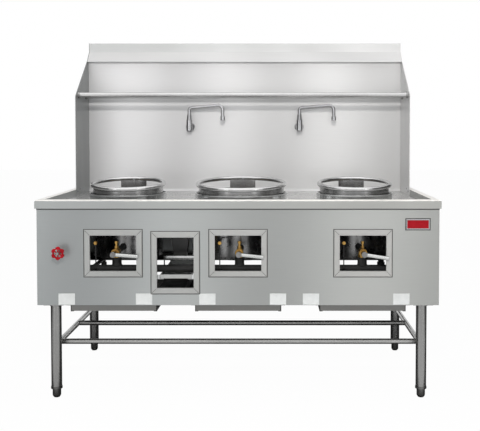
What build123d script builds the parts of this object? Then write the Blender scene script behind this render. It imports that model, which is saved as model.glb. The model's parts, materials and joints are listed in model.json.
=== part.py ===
"""Three-ring wok range: stainless cabinet on legs, sunk deck, splash back with flue, swing faucets."""
import os
from math import asin, cos, degrees, radians, sin, sqrt, tan

from build123d import *

# ---------------------------------------------------------------- driving dimensions, mm
# Distances called "depth" are measured back from the front face of the deck rim.
overall_width = 1829.0
overall_depth = 1041.0          # rim face to the back of the flue
overall_height = 1714.0
work_height = 915.0             # top of the deck rim
front_reach = 54.0              # how far the handwheel nut stands in front of the rim face
sheet = 2.0                     # deck, panels and flue sheet
splash_sheet = 3.0

rim_width = 38.0
rim_height = 39.0
rim_nose = 10.0
deck_drop = 30.0                # rim top down to the sunk deck

cabinet_inset = 8.0             # rim face to the front panel
side_inset = 7.5                # rim side to the side panel
cabinet_height = 477.0          # rim top down to the cabinet's lower edge
panel_flange = 40.0
rear_panel_lift = 42.0          # the rear panel stops this far above the cabinet's lower edge

end_space = 351.5               # rim side to the outer burners
burner_depth = 402.0
side_ring_diameter = 371.0
middle_ring_diameter = 452.0
ring_tube = 21.0
ring_front_rise = 30.0          # rim top up to the middle of the ring tube, at its front
ring_rear_rise = 61.0           # the same at its back: the rings lean towards the cook
neck_inset = 14.0               # outside of the ring tube to the outside of its neck
neck_wall = 3.0
exhaust_sill = 43.0             # sunk deck up to the lower edge of the exhaust gaps
exhaust_start = 20.0            # burner axis back to where the gaps begin
rear_plate = 132.0              # width of the neck left standing at the back
rear_rib = (10.0, 5.0)          # width and thickness of the rib on that plate

collar_extra = 5.0              # collar diameter over ring diameter
collar_height = 33.0
collar_wall = 3.0
collar_foot = 6.0               # how far the collar's foot spreads over the deck
collar_bead = 2.5
lug_height = 20.0
lug_width = 18.0
lug_reach = 9.0                 # how far the rest lugs pass under the neck
guard_gap = 1.0                 # neck to the guards that keep the ring in place
lift_gap = 0.3                  # lifted and sliding pieces over their seats

chamber_inset = 15.0            # ring radius down to chamber radius
chamber_wall = 5.0
chamber_height = 272.0          # from the underside of the deck
chamber_flange = 12.0
chamber_port = 120.0            # air opening in the chamber's floor
liner_wall = 22.0
liner_taper = 16.0
liner_lift = 89.0               # chamber floor up to the liner
liner_gap = 8.0                 # liner's top under the deck
pipe_hole_gap = 3.0

burner_boss = 30.0              # burner axis to the face its pipe screws into
burner_head = 148.0
burner_head_rise = 52.0         # supply pipe up to the head's tray
burner_head_sink = 18.0
jet_rings = ((48.0, 10), (24.0, 6))     # pitch radius and count of the jet tips
jet_height = 20.0
jet_foot = 13.0
jet_mouth = 9.0

duct_width = 150.0
duct_height = 96.0
duct_gap = 4.0                  # duct's top under the deck sheet
duct_flange = 8.0

flue_depth = 126.0              # splash wall to the back of the flue
riser_set_back = 25.0           # splash wall to the cap's riser
cap_overhang = 30.0             # how far the cap stands in front of the splash wall
riser_height = 48.0
cap_rise = 55.0
cap_return = 14.0
cap_hem = 6.0
slope_rise = 204.0              # where the splash sides begin to slope, below the cap
splash_reach = 303.0            # splash wall to the front edge of the splash sides
drip_fold = 12.0

shelf_lift = 7.0                # shelf tubes above the start of the slope
shelf_front_set = 53.0          # splash side's edge to the front tube
shelf_rear_set = 81.0           # rear tube to the splash wall
shelf_tube_diameter = 25.4
shelf_tube_wall = 1.5
socket_diameter = 36.0
socket_length = 10.0

faucet_x = 305.0
faucet_stand = 60.0             # splash wall to the faucet axis
faucet_drop = 196.0             # shelf tubes down to the foot of the faucet bodies
faucet_body_height = 66.0
faucet_body_diameter = 33.0
faucet_inlet_lift = 28.0        # foot of the body up to its inlet
faucet_shank = 21.0
faucet_flange_diameter = 50.0
faucet_flange_depth = 9.0
faucet_tail = 40.0              # inlet shank behind the splash wall
swivel_collar = 30.0            # height of the tapered collar round the spout
swivel_collar_widths = (29.0, 23.0)     # at its foot and at its top
spout_seat = 10.0               # spout's end below the top of the body
spout_tube = 18.5
spout_lift = 131.0              # foot of the body up to the spout's arm
spout_reach = 190.0
spout_rise = 4.5                # degrees
spout_swing_rest = 10.0         # resting angle in front of the wall line, degrees
spout_drop = 72.0
spout_bends = (14.0, 24.0)
nozzle_diameter = 26.0
nozzle_length = 24.0

opening_drop = 241.0            # rim top down to the middle of the access openings
opening_width_in = 210.0
opening_height_in = 161.0
trim_border = 26.0
trim_proud = 5.0
trim_lip = 2.0
trim_depth = 10.0               # lip behind the panel's front face
trim_lap = 8.0                  # how far the trim's border laps over the panel
mitre_groove = (1.6, 1.2)       # width, and twice the depth
waste_offset = 1.5              # the waste bay's middle, left of halfway between two burners
waste_drop = 284.0
waste_height_in = 229.0
trim_space = 41.5               # panel left between the waste bay's trim and its neighbours

valve_offset = 4.0              # burner middle to the valve axis
valve_drop = 244.0
valve_depth = 62.0
valve_back = 33.0               # valve middle to its outlet face
valve_front = 20.0              # valve middle to the front of its body
valve_body = 32.0
bonnet_diameter = 38.0
bonnet_thickness = 12.0
gland_diameter = 25.0
gland_length = 14.0
valve_nut = (19.0, 22.0)        # corner radius and height of the inlet hexagon
valve_nut_drop = 26.0           # valve axis down to the foot of that hexagon
port_nut = (9.5, 14.0)          # hexagons of the fitting on top of the valve
port_cap = (8.5, 10.0)
port_pipe = 11.0
port_height = 50.0              # valve axis up to the top of that fitting
stem_diameter = 11.0
stem_gap = 0.05
stem_clearance = 2.0            # end of a turning stem to the end of its bore
lever_depth = -15.0
lever_length = 112.0
lever_diameter = 18.0
lever_droops = (4.5, 6.5, 9.0)  # degrees below level, left to right
hub_diameter = 26.0
hub_length = 22.0
hub_screw = (13.0, 4.0)         # diameter and height of the screw head on the hub
screw_slot = (2.2, 1.8)         # width and depth
manifold_diameter = 33.4
manifold_drop = 77.0            # valve axis down to the manifold
manifold_depth = 75.0
manifold_end = 174.5            # rim side to the manifold's capped end
tee_length = 44.0
tee_rise = 30.0
strap = (24.0, 34.0, 4.0)       # manifold strap's width, height and thickness
supply_pipe = 26.7
gas_line_set = 144.5            # rim side to the line from the manifold to the back
water_pipe = 21.3
water_line_lift = 62.0          # cabinet's lower edge up to the water line
inlet_set = 111.0               # both inlets, in front of the back
inlet_drop = 43.0               # how far the inlets reach below the cabinet
inlet_length = 60.0             # straight stub below each inlet coupling
coupling_length = 26.0
elbow_extra = 10.0              # elbow and cap diameter over pipe diameter
pilot_offset = -84.0
pilot_lift = 46.0               # valve axis up to the pilot valve
pilot_depth = 34.0
pilot_tube = 5.0
pilot_cock = 28.0
pilot_cock_diameter = 12.0
pilot_nut = (8.5, 8.0)
pilot_bend = 10.0

handwheel_set = 115.5           # rim side to the handwheel
handwheel_lift = 10.0           # above the valve axis
handwheel_diameter = 60.0
handwheel_thickness = 11.0
handwheel_lobes = 6
handwheel_stem = 9.0
handwheel_hub = (15.0, 8.0, 12.0)       # diameter, and how far it stands before and behind the middle
handwheel_nut = (6.5, 8.0)
panel_hole_gap = 4.0            # round the handwheel's stem, in the front panel
water_valve_depth = 62.0
water_valve_bonnet = 24.0
water_valve_ball = 38.0
water_valve_height = 120.0

badge_set = 104.5               # rim side to the badge's middle
badge_drop = 110.0
badge_size = (108.0, 49.0, 3.0)
badge_border = 6.0

pan_width = 383.0
pan_height = 26.0
pan_length = 640.0
pan_front = 14.0
pan_lip = 3.0
pan_sheet = 1.5
pan_gap = 1.0                   # pan's upper edge under the cabinet
runner = 20.0
runner_sheet = 2.0
runner_gap = 1.5

sump_margin = 13.0              # on each side, narrower than the waste bay's opening
sump_set = 170.0                # burner axis forward to the sump's middle
sump_straight = 62.0
sump_height = 257.0             # sunk deck down to the end of the funnel
funnel_step = 15.0              # ledge round the funnel's mouth, on which the strainer stands
funnel_taper = 0.53             # width of the funnel's end over its mouth
strainer_clearance = 2.0
strainer_slots = (7, 3)
bail_bar = 6.0
tray_drop = 71.0                # funnel's end down to the tray's floor
tray_margin = 12.0              # on each side, narrower than the waste bay's opening
tray_height = 18.0
tray_length = 370.0
tray_front = 22.0
tray_lip = 4.0
rail_stop_gap = 8.0             # tray's back to the tie that stops it
hanger_set = 16.0               # tray's edge to the rear hangers
ledge_lift = 6.0                # funnel's end up to the ledge bar
ledge_set = 4.0
ledge_width = 30.0
ledge_fold = 14.0
bay_floor_extra = 48.0          # the waste bay's floor sheet, wider than the opening on each side

leg_set = 75.5                  # rim side to the legs' axes
leg_front = 70.0
leg_rear_set = 191.0            # rear legs, in front of the back
leg_diameter = 48.3
leg_wall = 1.6
leg_bottom = 51.0
leg_plate = 90.0
leg_plate_sheet = 5.0
leg_socket = 13.0
leg_socket_wall = 4.0
foot_diameter = 38.5
foot_tip = 29.0
foot_taper = 8.0
foot_flange = 52.0
foot_flange_height = 11.0
foot_stem = 12.7
foot_travel = 25.0
stretcher_height = 242.0
stretcher_diameter = 25.4
cross_tube_diameter = 25.0
cross_tube_depths = (129.0, 483.0)
frame_angle = 38.0
frame_sheet = 3.0
runner_bar = 30.0               # flats under the cabinet that carry the pan runners
runner_bar_set = 20.0

screw_head = 9.0
screw_shank = 5.0
screw_places = ((28.0, 20.0), (78.0, 30.0))     # behind the splash side's edge, above the sunk deck

beyond = 10.0                   # how far the tools of long cuts pass the metal

# ---------------------------------------------------------------- worked-out places
front_y = (front_reach - overall_depth) / 2         # rim face, with the whole part centred on y = 0
deck_z = work_height - deck_drop
under_deck = deck_z - sheet
rim_bottom = work_height - rim_height
cabinet_bottom = work_height - cabinet_height
rear_panel_bottom = cabinet_bottom + rear_panel_lift
half_width = overall_width / 2
half_recess = half_width - rim_width
half_splash = half_recess - splash_sheet            # inner faces of the splash sides
half_cabinet = half_width - side_inset
collar_top = deck_z + collar_height
rest_z = deck_z + lug_height                        # what the ring necks stand on

burner_pitch = half_width - end_space
burners = {
    "left": (-burner_pitch, side_ring_diameter),
    "middle": (0.0, middle_ring_diameter),
    "right": (burner_pitch, side_ring_diameter),
}
chamber_bottom = under_deck - chamber_height
liner_bottom = chamber_bottom + liner_lift
duct_top = under_deck - duct_gap

wall_depth = overall_depth - flue_depth
riser_depth = wall_depth + riser_set_back
cap_front = wall_depth - cap_overhang
splash_front = wall_depth - splash_reach
riser_bottom = overall_height - riser_height
cap_bottom = riser_bottom - cap_rise
splash_slope_start = cap_bottom - slope_rise
top_slope = cap_rise / (riser_depth - cap_front)
shelf_height = splash_slope_start + shelf_lift
shelf_front_depth = splash_front + shelf_front_set
shelf_rear_depth = wall_depth - shelf_rear_set
faucet_axis = wall_depth - faucet_stand
faucet_bottom = shelf_height - faucet_drop
faucet_inlet_height = faucet_bottom + faucet_inlet_lift
spout_height = faucet_bottom + spout_lift
spout_foot_z = faucet_bottom + faucet_body_height - spout_seat

opening_height = work_height - opening_drop
waste_x = -burner_pitch / 2 - waste_offset
waste_width_in = burner_pitch - opening_width_in - 4 * trim_border - 2 * trim_space
waste_height = work_height - waste_drop
valve_height = work_height - valve_drop
manifold_height = valve_height - manifold_drop
stem_end = valve_depth - port_pipe / 2 - 4.5        # blind end of the lever stems' bores
water_stem_end = water_valve_depth - water_valve_ball / 4
manifold_left = manifold_end - half_width
gas_line_x = half_width - gas_line_set
water_line_height = cabinet_bottom + water_line_lift
inlet_depth = overall_depth - inlet_set
inlet_bottom = cabinet_bottom - inlet_drop
pilot_height = valve_height + pilot_lift
handwheel_x = handwheel_set - half_width
handwheel_height = valve_height + handwheel_lift
badge_x = half_width - badge_set
badge_height = work_height - badge_drop

sump_depth_at = burner_depth - sump_set
sump_top = waste_width_in - 2 * sump_margin
funnel_top = sump_top - 2 * funnel_step
funnel_bottom = funnel_taper * funnel_top
tray_width = waste_width_in - 2 * tray_margin
funnel_end = deck_z - sump_height
tray_bottom = funnel_end - tray_drop
leg_x = half_width - leg_set
leg_rear = overall_depth - leg_rear_set
leg_plug = foot_travel + 5                          # solid, bored end of the legs


def y_at(depth):
    """Y of the plane that lies depth behind the rim face."""
    return front_y + depth


def block(x, depth, z):
    """A box from three (low, high) pairs."""
    size = (x[1] - x[0], depth[1] - depth[0], z[1] - z[0])
    middle = Pos((x[0] + x[1]) / 2, y_at((depth[0] + depth[1]) / 2), (z[0] + z[1]) / 2)
    return middle * Box(*size)


def along_x(x, depth, z, diameter):
    """A round bar along X from x[0] to x[1]."""
    turned = Rot(0, 90, 0) * Cylinder(diameter / 2, x[1] - x[0])
    return Pos((x[0] + x[1]) / 2, y_at(depth), z) * turned


def along_y(x, depth, z, diameter):
    """A round bar along Y from depth[0] to depth[1]."""
    turned = Rot(90, 0, 0) * Cylinder(diameter / 2, depth[1] - depth[0])
    return Pos(x, y_at((depth[0] + depth[1]) / 2), z) * turned


def along_z(x, depth, z, diameter):
    """A round bar along Z from z[0] to z[1]."""
    return Pos(x, y_at(depth), (z[0] + z[1]) / 2) * Cylinder(diameter / 2, z[1] - z[0])


def side_profile(points, x):
    """A sheet cut to (depth, height) points, from x[0] to x[1]."""
    face = make_face(Polyline(*[(y_at(d), z) for d, z in points], close=True))
    return extrude(Plane.YZ.offset(x[0]) * face, x[1] - x[0])


def spin_z(points, x, depth):
    """A solid of revolution about a vertical axis, from (radius, height) points."""
    face = make_face(Plane.XZ * Polyline(*[(r, z) for r, z in points], close=True))
    return Pos(x, y_at(depth), 0) * revolve(face, Axis.Z)


def mirrored(shape):
    """The same piece on the other side of the middle plane."""
    return mirror(shape, Plane.YZ)


# ---------------------------------------------------------------- deck
def sump_hole(z, size):
    half = size / 2
    return block((waste_x - half, waste_x + half), (sump_depth_at - half, sump_depth_at + half), z)


def duct_slot(x, z):
    half = duct_width / 2 - sheet
    return block((x - half, x + half), (wall_depth + duct_flange, overall_depth - duct_flange), z)


def deck_top():
    """Pressed deck: channel rim on three sides, sunk floor, holes for rings, sump and flue."""
    full_depth = (0, overall_depth)
    outer = block((-half_width, half_width), full_depth, (rim_bottom, work_height))
    nose = [e for e in outer.edges().filter_by(Axis.X).group_by(Axis.Z)[-1].group_by(Axis.Y)[0]]
    sides = outer.edges().filter_by(Axis.Y).group_by(Axis.Z)[-1]
    outer = fillet(nose + list(sides), rim_nose)
    width, depth = (sheet - half_width, half_width - sheet), (sheet, overall_depth - sheet)
    inside = block(width, depth, (rim_bottom - rim_nose, work_height - sheet))
    nose = [e for e in inside.edges().filter_by(Axis.X).group_by(Axis.Z)[-1].group_by(Axis.Y)[0]]
    sides = inside.edges().filter_by(Axis.Y).group_by(Axis.Z)[-1]
    inside = fillet(nose + list(sides), rim_nose - sheet)
    reach = half_recess + sheet
    pressed = block((-reach, reach), (rim_width - sheet, overall_depth), (under_deck, work_height))
    recess = block((-half_recess, half_recess), (rim_width, overall_depth + 1), (deck_z, work_height + 1))
    deck = outer - (inside - pressed) - recess
    through = (under_deck - 1, deck_z + 1)
    for x, diameter in burners.values():
        bore = diameter + collar_extra - 2 * collar_wall
        deck -= along_z(x, burner_depth, through, bore)
        deck -= duct_slot(x, through)
    return deck - sump_hole(through, sump_top)


# ---------------------------------------------------------------- cabinet
def window(x, z, width, height, depth):
    return block((x - width / 2, x + width / 2), depth, (z - height / 2, z + height / 2))


def windows():
    """Centre and inner size of each opening in the front panel."""
    list_ = [(x, opening_height, opening_width_in, opening_height_in) for x, _ in burners.values()]
    return list_ + [(waste_x, waste_height, waste_width_in, waste_height_in)]


def front_panel():
    near, far = cabinet_inset, cabinet_inset + sheet
    width = (-half_cabinet, half_cabinet)
    panel = block(width, (near, far), (cabinet_bottom, under_deck))
    inner = (-half_cabinet + sheet, half_cabinet - sheet)
    panel += block(inner, (far, far + panel_flange), (under_deck - sheet, under_deck))
    panel += block(inner, (far, far + panel_flange), (cabinet_bottom, cabinet_bottom + sheet))
    cut = 2 * (trim_border - trim_lap)
    for x, z, w, h in windows():
        panel -= window(x, z, w + cut, h + cut, (near - 1, far + 1))
    hole = handwheel_stem + 2 * panel_hole_gap
    return panel - along_y(handwheel_x, (near - 1, far + 1), handwheel_height, hole)


def side_panel():
    """Right side sheet with its top and bottom returns."""
    depth = (cabinet_inset + sheet, overall_depth - sheet)
    panel = block((half_cabinet - sheet, half_cabinet), depth, (cabinet_bottom, under_deck))
    fold = (half_cabinet - sheet - panel_flange, half_cabinet - sheet)
    clear_depth = (depth[0] + panel_flange, depth[1])
    panel += block(fold, clear_depth, (under_deck - sheet, under_deck))
    return panel + block(fold, clear_depth, (cabinet_bottom, cabinet_bottom + sheet))


def cabinet_rear_panel():
    """Rear sheet from under the deck's rear fold down to a gap above the cabinet's lower edge."""
    depth = (overall_depth - sheet, overall_depth)
    panel = block((-half_cabinet, half_cabinet), depth, (rear_panel_bottom, rim_bottom))
    fold = (depth[0] - panel_flange / 2, depth[0])
    inner = (-half_cabinet + sheet, half_cabinet - sheet)
    return panel + block(inner, fold, (rear_panel_bottom, rear_panel_bottom + sheet))


def angle_bar(x, depth, z, turn_x, turn_y):
    """Rolled angle lying in a box; turn_x and turn_y say on which side its upright leg stands."""
    bar = block(x, depth, z)
    thick = frame_sheet
    if turn_x:
        keep = (x[0], x[0] + thick) if turn_x < 0 else (x[1] - thick, x[1])
        return bar - (block(x, depth, (z[0] + thick, z[1] + 1)) - block(keep, depth, (z[0], z[1] + 2)))
    keep = (depth[0], depth[0] + thick) if turn_y < 0 else (depth[1] - thick, depth[1])
    return bar - (block(x, depth, (z[0] + thick, z[1] + 1)) - block(x, keep, (z[0], z[1] + 2)))


def base_frame():
    """Welded ring of rolled angle, its rear bar raised to the rear panel, with flats and the bay's floor."""
    low = cabinet_bottom + sheet
    z = (low, low + frame_angle)
    rear_low = rear_panel_bottom + sheet
    raised = (rear_low, rear_low + frame_angle)
    half = half_cabinet - sheet
    front = cabinet_inset + sheet
    rear = overall_depth - sheet - panel_flange / 2
    width = (-half, half)
    long_way = (front + frame_angle, rear)
    ring = angle_bar(width, (front, front + frame_angle), z, 0, -1)
    ring += angle_bar(width, (rear - frame_angle, rear), raised, 0, 1)
    ring += angle_bar((-half, -half + frame_angle), long_way, z, -1, 0)
    ring += angle_bar((half - frame_angle, half), long_way, z, 1, 0)
    post = (rear - frame_angle, rear)
    for side in (-1, 1):
        x = tuple(sorted((side * (half - frame_sheet), side * half)))
        ring += block(x, post, (low, raised[1]))
    # flats under the ring, between the panels' returns, carry the pan runners and the bay's floor
    flat = (cabinet_bottom, low)
    reach = half - panel_flange
    bars = (front + panel_flange, pan_front + pan_length - runner_bar_set)
    for x in (-burner_pitch / 2, burner_pitch / 2):
        span = (front + frame_angle, bars[1] + runner_bar)
        ring += angle_bar((x - frame_angle / 2, x + frame_angle / 2), span, z, 1, 0)
    for depth in bars:
        ring += block((-reach, reach), (depth, depth + runner_bar), flat)
    bay = waste_width_in / 2 + bay_floor_extra
    return ring + block((waste_x - bay, waste_x + bay), (bars[0], bars[1] + runner_bar), flat)


def opening_trim(x, z, width, height):
    """Mitred stainless frame on the panel, with a lip through the cut-out."""
    near = cabinet_inset - trim_proud
    outer_w, outer_h = width + 2 * trim_border, height + 2 * trim_border
    frame = window(x, z, outer_w, outer_h, (near, cabinet_inset))
    frame = chamfer(frame.faces().sort_by(Axis.Y)[0].edges(), trim_proud * 0.55)
    lip = (cabinet_inset, cabinet_inset + trim_depth)
    frame += window(x, z, width + 2 * trim_lip, height + 2 * trim_lip, lip)
    frame -= window(x, z, width, height, (near - 1, lip[1] + 1))
    # narrow grooves where the four sides are mitred
    for sx in (-1, 1):
        for sz in (-1, 1):
            corner = Pos(x + sx * (width + trim_border) / 2, y_at(near), z + sz * (height + trim_border) / 2)
            groove = Box((trim_border - trim_lip) * sqrt(2), mitre_groove[1], mitre_groove[0])
            frame -= corner * Rot(0, -45 * sx * sz, 0) * groove
    return frame


# ---------------------------------------------------------------- wok rings, collars and chambers
def ring_collar(x, diameter):
    """Rolled collar with a spread foot, a beaded edge, and lugs and guards that seat the ring."""
    outer = (diameter + collar_extra) / 2
    inner = outer - collar_wall
    foot_edge, bead = outer + collar_foot, outer + collar_bead
    foot_top = deck_z + collar_wall
    profile = [(inner, deck_z), (foot_edge, deck_z), (foot_edge, foot_top), (outer, foot_top)]
    profile += [(outer, collar_top - 2 * collar_wall), (bead, collar_top - collar_wall), (bead, collar_top)]
    profile += [(inner, collar_top)]
    collar = spin_z(profile, x, burner_depth)
    lug_start = neck_radius(diameter) - lug_reach
    guard_start = neck_radius(diameter) + guard_gap
    for turn in (0, 90, 180, 270):
        lug = Box(inner - lug_start, lug_width, lug_height)
        lug = Pos((inner + lug_start) / 2, 0, deck_z + lug_height / 2) * lug
        guard = Box(inner - guard_start, lug_width, collar_top - rest_z)
        guard = Pos((inner + guard_start) / 2, 0, (rest_z + collar_top) / 2) * guard
        collar += Pos(x, y_at(burner_depth), 0) * Rot(0, 0, turn) * (lug + guard)
    return collar


def neck_radius(diameter):
    return diameter / 2 - neck_inset


def wok_ring(x, diameter):
    """Leaning rolled tube on a neck that opens into exhaust gaps beside a ribbed rear plate."""
    major = (diameter - ring_tube) / 2
    rise = (ring_front_rise + ring_rear_rise) / 2
    lean = degrees(asin((ring_rear_rise - ring_front_rise) / (2 * major)))
    leaning = Pos(x, y_at(burner_depth), work_height + rise) * Rot(lean, 0, 0)
    tube = leaning * Torus(major, ring_tube / 2)
    outer = neck_radius(diameter)
    bottom = rest_z + lift_gap
    top = work_height + 2 * ring_rear_rise
    neck = along_z(x, burner_depth, (bottom, top), 2 * outer)
    neck -= along_z(x, burner_depth, (bottom - 1, top + 1), 2 * (outer - neck_wall))
    sill = deck_z + exhaust_sill
    rear = (burner_depth + exhaust_start, burner_depth + diameter)
    half = rear_plate / 2
    gaps = block((x - diameter, x + diameter), rear, (sill, top))
    gaps -= block((x - half, x + half), rear, (sill, top))
    neck -= gaps
    rib_width, rib_proud = rear_rib
    inside = burner_depth + outer - neck_wall
    neck += block((x - rib_width / 2, x + rib_width / 2), (inside - rib_proud, inside + 1), (bottom, top))
    # the tube's middle plane trims the neck, so the two meet all round
    neck -= leaning * Pos(0, 0, diameter) * Box(3 * diameter, 3 * diameter, 2 * diameter)
    return tube + neck


def chamber_radius(diameter):
    return diameter / 2 - chamber_inset


def supply_hole(x, radius, gap):
    """Hole through the chamber's front for the gas pipe."""
    front = burner_depth - radius
    return along_y(x + valve_offset, (front - beyond, burner_depth), valve_height, supply_pipe + 2 * gap)


def duct_hole(x, depth):
    half = duct_width / 2 - sheet
    return block((x - half, x + half), depth, (duct_top - duct_height + sheet, duct_top - sheet))


def burner_chamber(x, diameter):
    """Steel drum under the deck, open at the top and holed for pipe and flue."""
    outer = chamber_radius(diameter)
    inner = outer - chamber_wall
    lip = outer + chamber_flange
    port = chamber_port / 2
    lip_bottom = under_deck - chamber_wall
    profile = [(port, chamber_bottom), (outer, chamber_bottom), (outer, lip_bottom), (lip, lip_bottom)]
    profile += [(lip, under_deck), (inner, under_deck), (inner, chamber_bottom + chamber_wall)]
    profile += [(port, chamber_bottom + chamber_wall)]
    drum = spin_z(profile, x, burner_depth) - supply_hole(x, outer, pipe_hole_gap)
    return drum - duct_hole(x, (burner_depth, burner_depth + lip + beyond))


def fire_liner(x, diameter):
    """Refractory ring that narrows towards the burner."""
    outer = chamber_radius(diameter) - chamber_wall
    inner_top = outer - liner_wall
    inner_low = inner_top - liner_taper
    top = under_deck - liner_gap
    profile = [(inner_low, liner_bottom), (outer, liner_bottom), (outer, top), (inner_top, top)]
    profile += [(inner_top, (liner_bottom + 2 * top) / 3)]
    liner = spin_z(profile, x, burner_depth)
    return liner - duct_hole(x, (burner_depth, burner_depth + outer + beyond))


def flue_duct(x, diameter):
    """Rectangular duct from the chamber's back to the flue above the deck."""
    half = duct_width / 2
    start, end = burner_depth, overall_depth - 2 * sheet
    z = (duct_top - duct_height, duct_top)
    duct = block((x - half, x + half), (start, end), z)
    inside = half - sheet
    duct -= block((x - inside, x + inside), (start - 1, end - sheet), (z[0] + sheet, z[1] - sheet))
    duct -= along_z(x, burner_depth, (z[0] - 1, z[1] + 1), 2 * (chamber_radius(diameter) + chamber_flange))
    flange = half + duct_flange
    duct += block((x - flange, x + flange), (wall_depth - duct_flange / 2, end), (z[1] - sheet, under_deck))
    return duct - duct_slot(x, (z[1] - 3 * sheet, under_deck + 1))


def jet_burner(x):
    """Cast jet burner: pan-shaped head with rings of tips on an elbow from the supply pipe."""
    at = x + valve_offset
    tray_z = valve_height + burner_head_rise
    foot_z = tray_z - burner_head_sink
    edge = burner_head / 2
    lip = edge / 9
    profile = [(0, foot_z), (edge / 2, foot_z), (edge, tray_z - lip), (edge, tray_z + lip)]
    profile += [(edge - lip, tray_z + lip), (edge - 2 * lip, tray_z), (0, tray_z)]
    head = spin_z(profile, at, burner_depth)
    tip = Pos(0, 0, tray_z + 0.4 * jet_height) * Cone(jet_foot / 2, jet_mouth / 2, jet_height)
    for radius, count in jet_rings:
        for place in PolarLocations(radius, count):
            head += Pos(at, y_at(burner_depth), 0) * place * tip
    size = supply_pipe + elbow_extra
    head += along_z(at, burner_depth, (valve_height - 0.6 * size, foot_z + lip), size)
    return head + along_y(at, (burner_depth - burner_boss, burner_depth), valve_height, 0.9 * size)


# ---------------------------------------------------------------- gas train
def supply_run(x):
    """Black iron pipe from the valve's back to the burner's elbow."""
    span = (valve_depth + valve_back, burner_depth - burner_boss)
    return along_y(x + valve_offset, span, valve_height, supply_pipe)


def inlet(x, height, diameter):
    """Pipe from a line's end down to its threaded inlet below the cabinet."""
    drop = along_z(x, inlet_depth, (inlet_bottom, height), diameter)
    collar = (inlet_bottom + inlet_length, inlet_bottom + inlet_length + coupling_length)
    return drop + along_z(x, inlet_depth, collar, diameter + elbow_extra)


def elbow(x, depth, z, diameter):
    return Pos(x, y_at(depth), z) * Sphere((diameter + elbow_extra) / 2)


def gas_manifold():
    """Manifold with a tee under each valve, a capped left end and the line to the rear inlet."""
    size, z = manifold_diameter, manifold_height
    fitting = size + elbow_extra
    pipe = along_x((manifold_left, gas_line_x), manifold_depth, z, size)
    pipe += along_x((manifold_left, manifold_left + coupling_length), manifold_depth, z, fitting)
    for x, _ in burners.values():
        at = x + valve_offset
        pipe += along_x((at - tee_length / 2, at + tee_length / 2), manifold_depth, z, fitting - 1)
        pipe += along_z(at, manifold_depth, (z, z + tee_rise), supply_pipe + elbow_extra)
        pipe += along_z(at, manifold_depth, (z, valve_height - valve_nut_drop), supply_pipe)
    pipe += elbow(gas_line_x, manifold_depth, z, size)
    pipe += along_y(gas_line_x, (manifold_depth, inlet_depth), z, size)
    pipe += elbow(gas_line_x, inlet_depth, z, size)
    pipe += inlet(gas_line_x, z, size)
    # straps hold the manifold to the panel, clear of the openings
    width, height, thick = strap
    near = cabinet_inset + sheet
    low = z - size / 2 + thick
    for x in (-burner_pitch + opening_width_in / 2 + trim_border + width / 2, burner_pitch / 2):
        pipe += block((x - width / 2, x + width / 2), (near, manifold_depth), (low, low + thick))
        pipe += block((x - width / 2, x + width / 2), (near, near + thick), (low, low + height))
    return pipe


def upright_hexagon(x, depth, z, size):
    """Hexagonal nut standing on z, from its corner radius and height."""
    return Pos(x, y_at(depth), z) * extrude(RegularPolygon(size[0], 6), size[1])


def gas_valve(x):
    """Brass valve: hexagon inlet below, round bonnet in front, fitting for the pilot on top."""
    at = x + valve_offset
    face = valve_depth - valve_front
    body = along_y(at, (face, valve_depth + valve_back), valve_height, valve_body)
    bonnet = along_y(at, (face - bonnet_thickness + 2, face + 2), valve_height, bonnet_diameter)
    body += chamfer(bonnet.edges().filter_by(GeomType.CIRCLE), 1.5)
    gland = face - bonnet_thickness + 2 - gland_length
    body += along_y(at, (gland, face), valve_height, gland_diameter)
    body += upright_hexagon(at, manifold_depth, valve_height - valve_nut_drop, valve_nut)
    cap_z = valve_height + port_height - port_cap[1]
    nut_z = valve_height + valve_body / 2 - 2
    body += upright_hexagon(at, valve_depth, nut_z, port_nut)
    body += along_z(at, valve_depth, (nut_z, cap_z + 1), port_pipe)
    body += upright_hexagon(at, valve_depth, cap_z, port_cap)
    bore = along_y(at, (gland - 1, stem_end), valve_height, stem_diameter + 2 * stem_gap)
    return body - bore


def valve_lever(x, droop):
    """Stem, slotted hub and round bar handle in front of the panel."""
    at = x + valve_offset
    front, back = lever_depth - hub_length / 2, lever_depth + hub_length / 2
    hub = along_y(at, (front, back), valve_height, hub_diameter)
    hub = chamfer(hub.edges().filter_by(GeomType.CIRCLE), 1.2)
    hub += along_y(at, (back - 1, stem_end - stem_clearance), valve_height, stem_diameter)
    head, rise = hub_screw
    slot, sunk = screw_slot
    screw = along_y(at, (front - rise, front + 1), valve_height, head)
    screw -= block((at - head, at + head), (front - rise - 1, front - rise + sunk),
                   (valve_height - slot / 2, valve_height + slot / 2))
    bar = Pos(lever_length / 2, 0, 0) * Rot(0, 90, 0) * Cylinder(lever_diameter / 2, lever_length)
    bar = fillet(bar.edges().filter_by(GeomType.CIRCLE), 2.0)
    bar = Pos(at, y_at(lever_depth), valve_height) * Rot(0, droop, 0) * bar
    return hub + bar + screw


def pilot_valve(x):
    """Small brass cock with its tube down to the manifold."""
    at = x + pilot_offset
    reach = pilot_cock / 2
    cock = along_y(at, (pilot_depth - reach, pilot_depth + reach), pilot_height, pilot_cock_diameter)
    nut = extrude(RegularPolygon(pilot_nut[0], 6), pilot_nut[1])
    cock += Pos(at, y_at(pilot_depth), pilot_height) * Rot(90, 0, 0) * nut
    low, high = y_at(manifold_depth - manifold_diameter / 2), y_at(pilot_depth)
    points = [(at, low, manifold_height), (at, high, manifold_height), (at, high, pilot_height)]
    start = Plane(origin=points[0], z_dir=(0, -1, 0))
    tube = sweep(start * Circle(pilot_tube / 2), path=FilletPolyline(*points, radius=pilot_bend))
    rear = along_y(at, (pilot_depth + reach - 1, pilot_rear_end(x)), pilot_height, pilot_tube)
    return cock + tube + rear


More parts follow.
